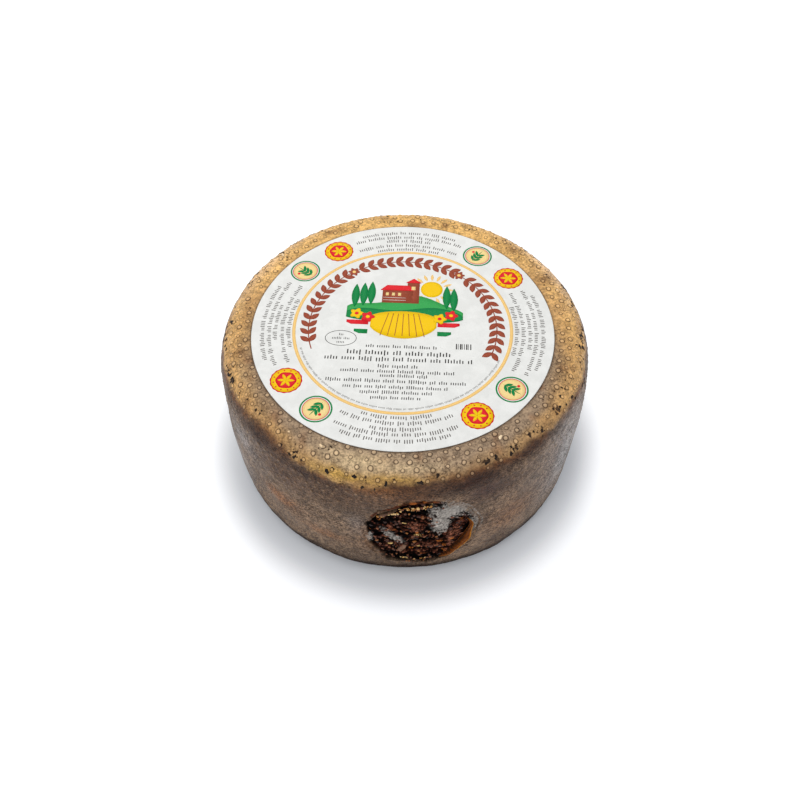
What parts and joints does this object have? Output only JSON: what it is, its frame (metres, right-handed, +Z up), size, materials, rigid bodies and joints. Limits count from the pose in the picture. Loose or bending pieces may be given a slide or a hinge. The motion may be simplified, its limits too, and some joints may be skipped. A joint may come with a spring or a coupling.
{
  "type": "whole cheese wheel",
  "caption": "Whole uncut wheel of aged ewe's-milk cheese with a brown nubbed rind, a round printed paper label on top and a scorched mark on its side.",
  "frame": {"origin": "centre of the foot, on the surface it rests on", "axes": "+Z up through the label, -Y towards the scorched mark"},
  "size_m": [0.1814, 0.1787, 0.0866],
  "materials": {
    "rind": "waxy brown natural rind, pitted, with bloom and a charred patch",
    "label_paper": "smooth white coated paper",
    "label_print": "flat printing inks"
  },
  "bodies": {
    "root": {"cheese_wheel": "rind", "paper_label": "label_paper"}
  },
  "joints": []
}
